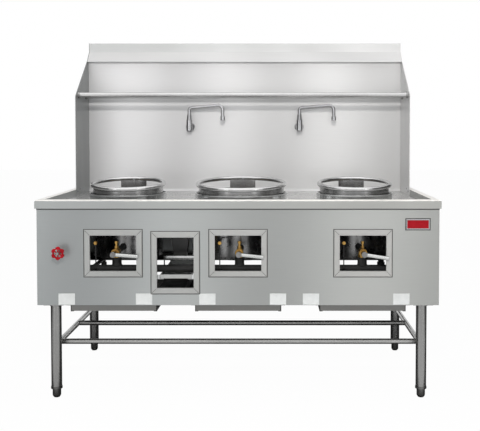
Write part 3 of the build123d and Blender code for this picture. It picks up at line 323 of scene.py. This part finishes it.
TUBES = {
    "ring_steel": dict(light=(0.64, 0.64, 0.64), dark=(0.54, 0.54, 0.54), rough=0.15),
    # a ring's neck under its tube is painted darker: painted shade
    "neck_steel": dict(light=(0.42, 0.42, 0.42), dark=(0.30, 0.30, 0.30), rough=0.20),
    "leg_steel": dict(light=(0.31, 0.31, 0.306), dark=(0.24, 0.24, 0.237), rough=0.24, run=UPRIGHT),
    "foot_steel": dict(light=(0.21, 0.21, 0.206), dark=(0.13, 0.13, 0.127), rough=0.30),
    "tube_steel": dict(light=(0.38, 0.38, 0.375), dark=(0.30, 0.30, 0.296), rough=0.24, run=SIDEWAYS),
    "shelf_steel": dict(light=(0.58, 0.58, 0.58), dark=(0.50, 0.50, 0.50), rough=0.22, run=SIDEWAYS),
    "lever_steel": dict(light=(0.58, 0.59, 0.58), dark=(0.48, 0.49, 0.48), rough=0.24, run=SIDEWAYS),
    "chrome": dict(light=(0.50, 0.50, 0.51), dark=(0.33, 0.33, 0.34), rough=0.14, metal=1.0),
    "dark_tube": dict(light=(0.06, 0.06, 0.06), dark=(0.03, 0.03, 0.03), rough=0.35, metal=0.7),
}
CASTINGS = {
    "hub_steel": dict(light=(0.30, 0.30, 0.295), dark=(0.18, 0.18, 0.178), rough=0.35, metal=0.9, grit=0.2),
    "brass": dict(light=(0.58, 0.36, 0.105), dark=(0.30, 0.175, 0.052), rough=0.36, metal=0.9, grit=0.25,
                  scale=160.0),
    "black_iron": dict(light=(0.028, 0.028, 0.028), dark=(0.012, 0.012, 0.012), rough=0.55, metal=0.1,
                       shine=0.2),
    "cast_iron": dict(light=(0.10, 0.09, 0.085), dark=(0.045, 0.04, 0.04), rough=0.6, metal=0.4),
    "drum_steel": dict(light=(0.34, 0.34, 0.34), dark=(0.14, 0.14, 0.14), rough=0.26, metal=0.95,
                       grit=0.05),
    "firebrick": dict(light=(0.50, 0.43, 0.34), dark=(0.27, 0.22, 0.17), rough=0.9, metal=0.0, grit=0.8,
                      scale=120.0),
    # dark joints, and dark strips that are painted shadow under the rim and round the trims
    "dark_seal": dict(light=(0.05, 0.049, 0.047), dark=(0.03, 0.03, 0.029), rough=0.7, metal=0.0, grit=0.2),
}
ENAMELS = {
    "red_enamel": dict(colour=(0.42, 0.008, 0.016), worn=(0.16, 0.003, 0.006), rough=0.36),
    "badge_field": dict(colour=(0.31, 0.007, 0.014), worn=(0.26, 0.006, 0.011), rough=0.45),
    "plate_white": dict(colour=(0.61, 0.63, 0.635), worn=(0.56, 0.58, 0.585), rough=0.5),
}


def finishes():
    """Every finish on the range, by name."""
    made = {}
    for kind, looks in ((brushed, SHEETS), (satin_tube, TUBES), (cast_metal, CASTINGS), (enamel, ENAMELS)):
        for name, look in looks.items():
            made[name] = kind(name, **look)
    return made


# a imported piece's finish, by its name or by what its name starts with
FINISH_OF = {
    "front_panel": "front_sheet",
    "side_panel_left": "end_sheet",
    "side_panel_right": "end_sheet",
    "cabinet_rear_panel": "front_sheet",
    "base_frame": "black_iron",
    "deck_top": "rim_sheet",
    "back_wall": "wall_sheet",
    "splash_side_left": "side_sheet",
    "splash_side_right": "side_sheet",
    "flue_back": "wall_sheet",
    "flue_cap": "cap_sheet",
    "flue_ducts": "drum_steel",
    "burner_chambers": "drum_steel",
    "fire_liners": "firebrick",
    "jet_burners": "cast_iron",
    "supply_pipes": "black_iron",
    "gas_manifold": "black_iron",
    "pilot_valves": "brass",
    "water_valve": "cast_iron",
    "handwheel": "red_enamel",
    "sump": "drum_steel",
    "strainer_basket": "collar_steel",
    "scrap_tray": "trim_sheet",
    "tray_rails": "collar_steel",
    "pan_runners": "black_iron",
    "legs": "leg_steel",
    "stretchers": "tube_steel",
    "badge": "chrome",
    "splash_screws": "chrome",
    "shelf_tube": "shelf_steel",
    "shelf_sockets": "tube_steel",
    "waste_bay_trim": "trim_sheet",
    "access_trim": "trim_sheet",
    "ring_collar": "collar_steel",
    "wok_ring": "ring_steel",
    "gas_valve": "brass",
    "valve_lever": "lever_steel",
    "drip_pan": "pan_sheet",
    "faucet_body": "chrome",
    "swing_spout": "chrome",
    "foot": "foot_steel",
}


def finish_name(node):
    """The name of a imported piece's finish."""
    if node in FINISH_OF:
        return FINISH_OF[node]
    return next(finish for stem, finish in FINISH_OF.items() if node.startswith(stem))


# ---------------------------------------------------------------- working on a piece
FACING = 0.9                        # a face looks along an axis when that share of its normal lies along it
SHARP = radians(40)                 # edges that turn by more than this are rounded and shaded sharp


def deselect():
    """Leaves nothing selected, which every new primitive needs."""
    bpy.ops.object.select_all(action="DESELECT")


def choose(piece):
    """Makes this piece the only one that the next operators act on."""
    deselect()
    piece.select_set(True)
    bpy.context.view_layer.objects.active = piece


def apply_modifier(piece, kind, **values):
    """Adds a modifier with these settings and applies it."""
    choose(piece)
    modifier = piece.modifiers.new(kind.lower(), kind)
    for key, value in values.items():
        setattr(modifier, key, value)
    bpy.ops.object.modifier_apply(modifier=modifier.name)


def round_edges(piece, width, angle=SHARP, segments=2):
    """Rounds the edges that turn by more than the angle."""
    apply_modifier(piece, "BEVEL", width=width, segments=segments, limit_method="ANGLE", angle_limit=angle)


def select_faces(piece, test):
    """In edit mode, leaves only the faces whose middle and normal pass the test selected."""
    bpy.ops.mesh.select_mode(type="FACE")
    bpy.ops.mesh.select_all(action="DESELECT")
    mesh = bmesh.from_edit_mesh(piece.data)
    for face in mesh.faces:
        face.select = test(face.calc_center_median(), face.normal)
    bmesh.update_edit_mesh(piece.data)


def select_borders(piece):
    """In edit mode, leaves only the edges round the openings of the mesh selected."""
    bpy.ops.mesh.select_mode(type="EDGE")
    mesh = bmesh.from_edit_mesh(piece.data)
    for edge in mesh.edges:
        edge.select = edge.is_boundary
    bmesh.update_edit_mesh(piece.data)


def paint_faces(piece, material, test):
    """Gives the faces that pass the test another finish."""
    choose(piece)
    piece.data.materials.append(material)
    piece.active_material_index = len(piece.data.materials) - 1
    bpy.ops.object.mode_set(mode="EDIT")
    select_faces(piece, test)
    bpy.ops.object.material_slot_assign()
    bpy.ops.object.mode_set(mode="OBJECT")


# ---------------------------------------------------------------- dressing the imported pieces
PLAIN_EDGE = 0.0005                 # metres that the edge of sheet and bar is softened by
# other edges; a width of 0 keeps the edges of round work and of the formed deck as they are
SOFT_EDGE = {"handwheel": 0.0010, "gas_valve": 0.0007, "badge": 0.0004, "deck_top": 0, "legs": 0,
             "stretchers": 0, "shelf_": 0, "wok_ring": 0, "swing_spout": 0, "faucet_body": 0, "foot": 0}
DOUBLES = 1e-5                      # corners closer than this are one
LEVEL = radians(0.5)                # neighbouring facets that turn by less than this are one face

BADGE_SUNK = 0.00055                # faces further than this behind the badge's border are its red field
RIM_ROUND = 0.01                    # the rim's top edge rounds off over this height
RIM_LEAN = 0.6                      # and is painted near-white there, a painted highlight, where its normal points up by more than this
RISER_FACING = 0.95                 # the cap's riser faces the front by more than this, its slope by less
HUB_WIDTH = 0.0262                  # the levers' hubs, at their left ends
COCK_DEPTH = 0.018                  # a pilot cock reaches this far down from its top,
COCK_BACK = 0.0485                  # and this far in from the rim face; the rest is tube
WHEEL_HUB = 0.0062                  # the handwheel's dark hub shows from its front this far back,
WHEEL_NUT = 0.0036                  # and the bright nut on it this far back
NECK_INSET = 0.0135                 # a ring's neck, painted darker as painted shade under its tube, starts this far in from the outside of its tube,
NECK_LEAN = 0.3                     # on faces that point up or down by less than this
SUMP_RIM = 0.05                     # the sump's bare steel top edge; its funnel below is painted near-black as painted shade inside the waste bay


def dress(node, material, edge):
    """A clean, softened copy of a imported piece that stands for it."""
    piece = nodes[node].copy()
    piece.data = nodes[node].data.copy()
    piece.name = f"{node}_dressed"
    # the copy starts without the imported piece's labels
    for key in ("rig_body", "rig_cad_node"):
        if key in piece:
            del piece[key]
    piece.parent = None
    bpy.context.scene.collection.objects.link(piece)
    choose(piece)
    if piece.data.has_custom_normals:
        bpy.ops.mesh.customdata_custom_splitnormals_clear()
    bpy.ops.object.mode_set(mode="EDIT")
    bpy.ops.mesh.select_all(action="SELECT")
    bpy.ops.mesh.remove_doubles(threshold=DOUBLES)
    bpy.ops.mesh.normals_make_consistent(inside=False)
    # softened pieces, and the deck, get whole faces where the sheet is flat
    if edge or node == "deck_top":
        bpy.ops.mesh.dissolve_limited(angle_limit=LEVEL)
    bpy.ops.object.mode_set(mode="OBJECT")
    if edge:
        round_edges(piece, edge)
    bpy.ops.object.shade_smooth_by_angle(angle=SHARP)
    apply_modifier(piece, "WEIGHTED_NORMAL", keep_sharp=True, weight=100)
    piece.data.materials.clear()
    piece.data.materials.append(material)
    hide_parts(node)
    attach(piece, BODY_OF[node])
    return piece


def other_finishes(node):
    """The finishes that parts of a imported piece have, each with a test of a face's middle and normal."""
    low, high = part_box(node)
    if node == "badge":
        return [("badge_field", lambda middle, normal: normal.y < -FACING
                 and middle.y > low.y + BADGE_SUNK)]
    if node == "deck_top":
        edge = high.z - RIM_ROUND
        # the rim's top is painted near-white as a painted highlight
        return [("rim_top", lambda middle, normal: normal.z > RIM_LEAN and middle.z > edge),
                # the flat deck is painted lighter: painted light from above
                ("deck_floor", lambda middle, normal: normal.z > FACING and middle.z < edge)]
    if node == "flue_cap":
        return [("riser_sheet", lambda middle, normal: normal.y < -RISER_FACING)]
    if node == "handwheel":
        return [("cast_iron", lambda middle, normal: middle.y < low.y + WHEEL_HUB),
                ("hub_steel", lambda middle, normal: middle.y < low.y + WHEEL_NUT)]
    if node == "sump":
        # the funnel below the rim is painted dark: painted shade inside the waste bay
        return [("dark_tube", lambda middle, normal: middle.z < high.z - SUMP_RIM)]
    if node == "pilot_valves":
        return [("dark_tube", lambda middle, normal: middle.z < high.z - COCK_DEPTH
                 or middle.y > RIM_FACE + COCK_BACK)]
    if node.startswith("valve_lever"):
        return [("hub_steel", lambda middle, normal: middle.x < low.x + HUB_WIDTH)]
    if node.startswith("wok_ring"):
        axis = (low + high) / 2
        reach = (high.x - low.x) / 2 - NECK_INSET
        # the neck under the tube is painted darker: painted shade
        return [("neck_steel", lambda middle, normal: abs(normal.z) < NECK_LEAN
                 and (middle.x - axis.x) ** 2 + (middle.y - axis.y) ** 2 < reach ** 2)]
    return []


def dress_everything(finish):
    """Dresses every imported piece."""
    for node in nodes:
        edge = next((width for stem, width in SOFT_EDGE.items() if node.startswith(stem)), PLAIN_EDGE)
        piece = dress(node, finish[finish_name(node)], edge)
        for name, test in other_finishes(node):
            paint_faces(piece, finish[name], test)


# ---------------------------------------------------------------- making small fittings
def start_piece(name):
    """Names the primitive that was just added."""
    piece = bpy.context.object
    piece.name = name
    return piece


def start_block(name, size, place=(0, 0, 0)):
    """A plain block, to be shaped further."""
    deselect()
    bpy.ops.mesh.primitive_cube_add(size=1, location=place)
    block = start_piece(name)
    block.scale = size
    bpy.ops.object.transform_apply(location=True, rotation=True, scale=True)
    return block


def copy_piece(first, name, place, turn=(0, 0, 0)):
    """A copy of a modelled piece, with its own mesh, put somewhere else."""
    piece = first.copy()
    piece.data = first.data.copy()
    piece.name = name
    bpy.context.scene.collection.objects.link(piece)
    piece.location = place
    piece.rotation_euler = turn
    return piece


def finish_piece(piece, material, node, edge=0.0):
    """Puts a fitting's place into its mesh and softens it; it rides with this node."""
    choose(piece)
    bpy.ops.object.transform_apply(location=True, rotation=True, scale=True)
    if edge:
        round_edges(piece, edge)
    bpy.ops.object.shade_smooth_by_angle(angle=SHARP)
    piece.data.materials.append(material)
    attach(piece, BODY_OF[node])


def clear_away(piece):
    """Deletes a model that was only there to be copied."""
    choose(piece)
    bpy.ops.object.delete()


# ---------------------------------------------------------------- bare plates on the panel
PLATE_PLACES = (-0.774, -0.425, -0.139, 0.180, 0.329, 0.737)    # right of the middle
PLATE_SIZE = (0.074, 0.0012, 0.051)
PLATE_LIFT = 0.0025                 # above the panel's lower edge
PLATE_MARGIN = 0.003                # the raised border round a plate's field
FIELD_STEP = (0.0004, -0.0003)      # how far in and how far back the field is stepped
PLATE_EDGE = 0.0002


def small_plates(material):
    """Six bare white plates along the panel's lower edge, each with a slightly sunk field."""
    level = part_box("front_panel")[0].z + PLATE_LIFT + PLATE_SIZE[2] / 2
    first = start_block("bare_plate", PLATE_SIZE)
    bpy.ops.object.mode_set(mode="EDIT")
    select_faces(first, lambda middle, normal: normal.y < -FACING)
    bpy.ops.mesh.inset(thickness=PLATE_MARGIN, depth=0)
    bpy.ops.mesh.inset(thickness=FIELD_STEP[0], depth=FIELD_STEP[1])
    bpy.ops.object.mode_set(mode="OBJECT")
    for index, x in enumerate(PLATE_PLACES):
        plate = copy_piece(first, f"bare_plate_{index + 1}", (x, PANEL_FACE - PLATE_SIZE[1] / 2, level))
        finish_piece(plate, material, "front_panel", PLATE_EDGE)
    clear_away(first)


# ---------------------------------------------------------------- dark joint and shadow strips, and mitre lines
TRIM_NODES = ("waste_bay_trim", "access_trim_left", "access_trim_middle", "access_trim_right")
TRIM_BORDER = 0.026                 # width of an opening's trim
TRIM_PROUD = 0.005                  # how far it stands off the panel

SEAL_WIDTH = 0.0028                 # of the dark line that shows beside a trim: its joint with the panel, and painted shadow
SEAL_PROUD = 0.0016
SEAL_EDGE = 0.0006
RIM_SHADOW_STRIP = (0.006, 0.0050)          # depth and height of the dark strip under the rim, a painted shadow
RIM_SHADOW_SLOPE = 0.002              # how much less it stands out at its lower edge
RIM_SHADOW_EDGE = 0.0008

SEAM = (0.0013, 0.0004)             # width and height of the dark line where two sides of a trim are mitred
SEAM_SHORT = 0.005                  # this much of a trim's border is left free at the seam's ends
SEAM_SHIFT = 0.0008                 # the seam lies this much nearer the opening than the border's middle


def frame_strip(name, size, width, thick):
    """A flat frame about the origin; it reaches width outside a plate of this size, and width under it."""
    strip = start_block(name, (size[0] + 2 * width, thick, size[1] + 2 * width))
    bpy.ops.object.mode_set(mode="EDIT")
    select_faces(strip, lambda middle, normal: abs(normal.y) > FACING)
    bpy.ops.mesh.inset(thickness=2 * width, depth=0)
    bpy.ops.mesh.delete(type="FACE")
    select_borders(strip)
    bpy.ops.mesh.bridge_edge_loops()
    bpy.ops.mesh.select_all(action="SELECT")
    bpy.ops.mesh.normals_make_consistent(inside=False)
    bpy.ops.object.mode_set(mode="OBJECT")
    return strip


def border_joints_and_shadows(material):
    """Dark beads round the opening trims and the badge: their joint with the panel, and painted shadow by
    their proud edges.
    """
    bead_of_size = {}
    for node in (*TRIM_NODES, "badge"):
        low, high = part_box(node)
        size = (round(high.x - low.x, 4), round(high.z - low.z, 4))
        if size not in bead_of_size:
            bead_of_size[size] = frame_strip(f"seal_{len(bead_of_size)}", size, SEAL_WIDTH, SEAL_PROUD)
        place = ((low.x + high.x) / 2, PANEL_FACE - SEAL_PROUD / 2, (low.z + high.z) / 2)
        strip = copy_piece(bead_of_size[size], f"seal_{node}", place)
        finish_piece(strip, material, node, SEAL_EDGE)
    for first in bead_of_size.values():
        clear_away(first)


def rim_shadow_strip(material):
    """A dark strip between the rim and the front panel: painted shadow under the rim."""
    depth, height = RIM_SHADOW_STRIP
    rim_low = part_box("deck_top")[0].z
    panel_low, panel_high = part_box("front_panel")
    # this strip is painted shadow under the rim
    bead = start_block("shadow_strip_under_rim", (panel_high.x - panel_low.x, depth, height),
                       (0, PANEL_FACE - depth / 2, rim_low - height / 2))
    bpy.ops.object.mode_set(mode="EDIT")
    select_faces(bead, lambda middle, normal: normal.z < -FACING)
    bpy.ops.transform.translate(value=(0, RIM_SHADOW_SLOPE, 0))
    bpy.ops.object.mode_set(mode="OBJECT")
    finish_piece(bead, material, "front_panel", RIM_SHADOW_EDGE)


def mitre_seams(material):
    """A thin dark line across each corner of each trim."""
    inset = TRIM_BORDER / 2 + SEAM_SHIFT
    first = start_block("mitre_seam", ((TRIM_BORDER - SEAM_SHORT) * 2 ** 0.5, SEAM[1], SEAM[0]))
    bpy.ops.object.mode_set(mode="EDIT")
    select_faces(first, lambda middle, normal: normal.y < -FACING)
    bpy.ops.mesh.inset(thickness=SEAM[0] / 4, depth=0)
    bpy.ops.object.mode_set(mode="OBJECT")
    for node in TRIM_NODES:
        low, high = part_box(node)
        for x, side, side_name in ((low.x + inset, 1, "left"), (high.x - inset, -1, "right")):
            for z, level, level_name in ((low.z + inset, 1, "low"), (high.z - inset, -1, "high")):
                name = f"mitre_{node}_{side_name}_{level_name}"
                turn = (0, -side * level * pi / 4, 0)
                seam = copy_piece(first, name, (x, PANEL_FACE - TRIM_PROUD, z), turn)
                finish_piece(seam, material, node)
    clear_away(first)


# ---------------------------------------------------------------- unions under the gas valves
UNION_DEPTH = 0.075                 # rim face to the manifold's axis
UNION_LAP = 0.001                   # how far its nut reaches up over the valve's foot
UNION_NUT = (0.0225, 0.012)         # radius to a corner, and height
UNION_NUT_EDGE = 0.0012
UNION_BODY = (0.0215, 0.034)        # radius, and height before its top is drawn up
UNION_DROP = 0.008                  # from the nut's top down to the body's, before it is drawn up
UNION_DRAW = 0.004                  # how far its top is drawn up into the nut
UNION_SHOULDER = 0.0095             # width of the ring inside its top and bottom edges
UNION_ROUND = 0.0085                # its edges are worn round by at most this


def union_body():
    """The cast body of a union, with worn, rounded ends."""
    radius, height = UNION_BODY
    deselect()
    bpy.ops.mesh.primitive_cylinder_add(vertices=40, radius=radius, depth=height,
                                        location=(0, 0, -UNION_DROP - height / 2))
    body = start_piece("iron_union")
    bpy.ops.object.transform_apply(location=True, rotation=True, scale=True)
    bpy.ops.object.mode_set(mode="EDIT")
    select_faces(body, lambda middle, normal: abs(normal.z) > FACING)
    bpy.ops.mesh.inset(thickness=UNION_SHOULDER, depth=0)
    select_faces(body, lambda middle, normal: normal.z > FACING and middle.length < radius)
    bpy.ops.mesh.extrude_region_move(TRANSFORM_OT_translate={"value": (0, 0, UNION_DRAW)})
    bpy.ops.object.mode_set(mode="OBJECT")
    round_edges(body, UNION_ROUND, angle=radians(60), segments=6)
    return body


def union_nut():
    """The hexagon nut on top of a union."""
    radius, height = UNION_NUT
    deselect()
    bpy.ops.mesh.primitive_cylinder_add(vertices=6, radius=radius, depth=height, rotation=(0, 0, pi / 6),
                                        location=(0, 0, -height / 2))
    nut = start_piece("union_nut")
    bpy.ops.object.transform_apply(location=True, rotation=True, scale=True)
    round_edges(nut, UNION_NUT_EDGE, angle=radians(30))
    return nut


def unions(material):
    """A black iron union under each valve."""
    first = union_body()
    nut = union_nut()
    choose(first)
    nut.select_set(True)
    bpy.ops.object.join()
    for name in ("left", "middle", "right"):
        low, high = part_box(f"gas_valve_{name}")
        place = ((low.x + high.x) / 2, RIM_FACE + UNION_DEPTH, low.z + UNION_LAP)
        union = copy_piece(first, f"iron_union_{name}", place)
        finish_piece(union, material, "gas_manifold")
    clear_away(first)


# ---------------------------------------------------------------- studio
ROOM_UP = (0.32, 0.44)              # brightness of the room's soft light from below and from above,
ROOM_SIDE = (1.0, 0.62)             # times that from the left and from the right,
ROOM_DEPTH = (1.15, 0.9)            # times that from in front and from behind
FLOOR_SIZE = 40
FLOOR_GLOW = 0.975                  # share of the floor that looks plain white; the rest takes shadow

LAMPS = {                           # place, the point it faces, size and watts
    "left_strip": ((-3.1, -4.4, 0.9), (0, -0.4, 0.6), (0.9, 2.0), 11),
    "right_strip": ((3.1, -4.4, 0.9), (0, -0.4, 0.6), (0.9, 2.0), 12),
    "front_strip": ((0.2, -6.2, 2.1), (0, 0, 0.9), (5.0, 0.6), 14),
    "overhead": ((0, -1.4, 4.2), (0, -0.4, 0.9), (5.0, 3.4), 38),
}
WALL_LAMP = ((0.15, -3.8, 2.43), (0.1, 0.4, 1.2), (0.20, 0.16), 98)
WARM = (1, 0.975, 0.94)

CARDS = {                           # place, turn about Y, and size
    # the floor card is painted shade: a dark floor under and behind the range, seen only in reflections
    "floor": ((0, 0.85, 0.001), 0, (4.8, 2.8)),
    "left": ((-2.4, 0.3, 1.25), pi / 2, (2.5, 4.0)),
    "right": ((2.4, 0.3, 1.25), pi / 2, (2.5, 4.0)),
}


def seen_rays(tree):
    """1 for rays from the camera and for those that metal or glass sends on, else 0."""
    path = add_node(tree, "ShaderNodeLightPath")
    total = path.outputs["Is Camera Ray"]
    for name in ("Is Glossy Ray", "Is Transmission Ray"):
        total = calculate(tree, "MAXIMUM", total, path.outputs[name])
    return total


def stage_floor():
    """White floor that keeps a faint shadow of the range."""
    deselect()
    bpy.ops.mesh.primitive_plane_add(size=FLOOR_SIZE)
    floor = start_piece("floor")
    material, tree, shader = new_material("floor_white")
    feed(tree, (0.90, 0.90, 0.90), shader.inputs["Base Color"])
    shader.inputs["Roughness"].default_value = 0.9
    glow = add_node(tree, "ShaderNodeEmission", Strength=1.0)
    mix = add_node(tree, "ShaderNodeMixShader")
    feed(tree, calculate(tree, "MULTIPLY", seen_rays(tree), FLOOR_GLOW), mix.inputs["Fac"])
    tree.links.new(shader.outputs["BSDF"], mix.inputs[1])
    tree.links.new(glow.outputs["Emission"], mix.inputs[2])
    tree.links.new(mix.outputs["Shader"], tree.nodes["Material Output"].inputs["Surface"])
    floor.data.materials.append(material)


def studio_world():
    """White surround for the camera and the metal; soft light, most from above, in front and the left."""
    world = bpy.data.worlds.new("studio")
    bpy.context.scene.world = world
    world.use_nodes = True
    tree = world.node_tree
    room = 1.0
    for axis, strengths in (("Z", ROOM_UP), ("X", ROOM_SIDE), ("Y", ROOM_DEPTH)):
        fade = map_range(tree, one_axis(tree, "Generated", axis), (-1.0, 1.0), strengths, "SMOOTHSTEP")
        room = calculate(tree, "MULTIPLY", fade, room)
    white = mix_colour(tree, seen_rays(tree), room, (1, 1, 1))
    tree.links.new(white, tree.nodes["Background"].inputs["Color"])


def area_lamp(name, place, aim, size, power):
    """A rectangular lamp that faces a point."""
    data = bpy.data.lights.new(name, "AREA")
    data.shape = "RECTANGLE"
    data.size, data.size_y = size
    data.energy = power
    lamp = bpy.data.objects.new(name, data)
    bpy.context.scene.collection.objects.link(lamp)
    lamp.location = place
    lamp.rotation_euler = (Vector(aim) - Vector(place)).to_track_quat("-Z", "Y").to_euler()
    return lamp


def studio_lamps():
    """Soft lamps, and a small warm one just over the picture that throws shadows on the splash wall."""
    for name, settings in LAMPS.items():
        area_lamp(name, *settings)
    wall_lamp = area_lamp("wall_lamp", *WALL_LAMP)
    wall_lamp.data.color = WARM
    wall_lamp.visible_glossy = False


def dark_cards():
    """Dark cards that only reflections see, which give bright metal its dark edges."""
    material, tree, shader = new_material("card_black")
    feed(tree, (0.03, 0.03, 0.03), shader.inputs["Base Color"])
    shader.inputs["Roughness"].default_value = 1.0
    deselect()
    bpy.ops.mesh.primitive_plane_add(size=1)
    first = start_piece("dark_card")
    first.data.materials.append(material)
    for kind in ("camera", "diffuse", "shadow", "transmission"):
        setattr(first, f"visible_{kind}", False)
    for name, (place, turn, size) in CARDS.items():
        card = copy_piece(first, f"dark_card_{name}", place, (0, turn, 0))
        card.scale = (*size, 1)
        choose(card)
        bpy.ops.object.transform_apply(location=True, rotation=True, scale=True)
    clear_away(first)


scene = bpy.context.scene
scene.view_settings.view_transform = "Standard"
place_camera()
stage_floor()
studio_world()
studio_lamps()
dark_cards()
finish = finishes()
dress_everything(finish)
small_plates(finish["plate_white"])
border_joints_and_shadows(finish["dark_seal"])
rim_shadow_strip(finish["dark_seal"])
mitre_seams(finish["dark_seal"])
unions(finish["black_iron"])
